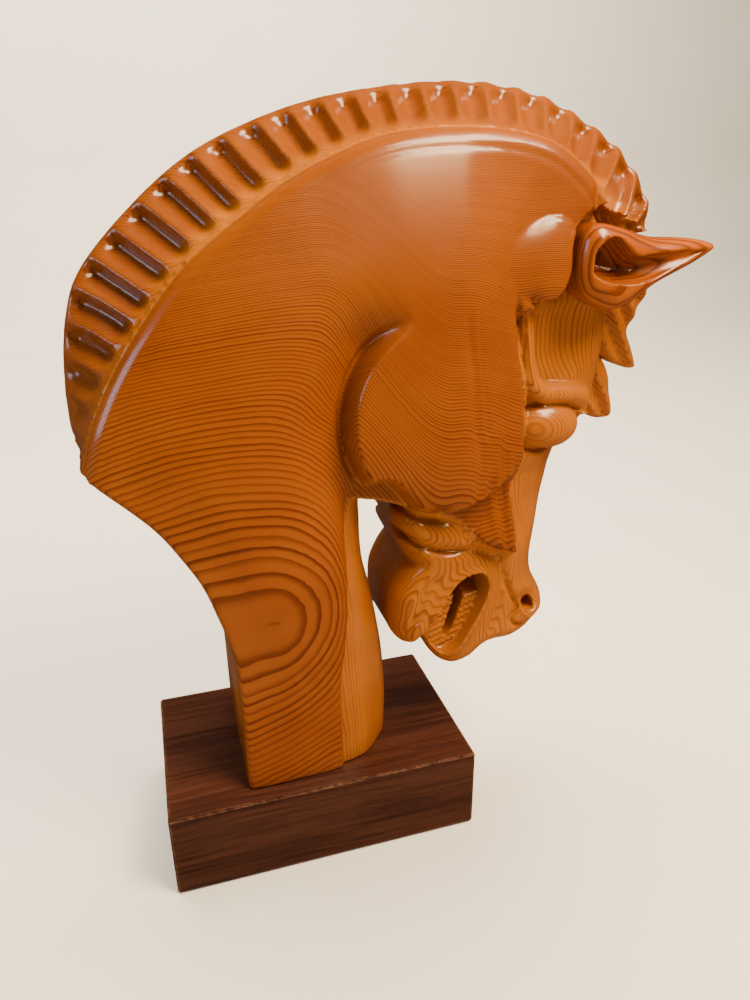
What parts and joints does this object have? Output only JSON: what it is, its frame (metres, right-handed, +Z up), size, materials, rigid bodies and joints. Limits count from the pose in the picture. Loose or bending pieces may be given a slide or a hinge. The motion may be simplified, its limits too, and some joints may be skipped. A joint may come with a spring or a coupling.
{
  "type": "chess knight carving",
  "caption": "Carved softwood knight's head with a fluted mane, pricked ears and an open mouth, screwed to a hardwood plinth with a baize underside.",
  "frame": {"origin": "centre of the underside of the base, on the surface that the piece stands on", "axes": "+Z up; +X the way the horse faces, along the plinth's length; +Y to the horse's left"},
  "size_m": [0.2701, 0.098, 0.351],
  "materials": {
    "plinth_hardwood": "dark red-brown hardwood, satin oil",
    "baize": "green baize",
    "screw_steel": "zinc-plated wood screw",
    "core_softwood": "amber varnished softwood with dark rings",
    "side_softwood": "orange-brown varnished softwood with dark rings",
    "ear_softwood": "orange-brown varnished softwood with dark rings"
  },
  "bodies": {
    "root": {"plinth": "plinth_hardwood", "base_baize": "baize", "rear_plinth_screw": "screw_steel", "front_plinth_screw": "screw_steel", "core_board": "core_softwood", "right_side_board": "side_softwood", "left_side_board": "side_softwood", "right_ear": "ear_softwood", "left_ear": "ear_softwood"}
  },
  "joints": []
}
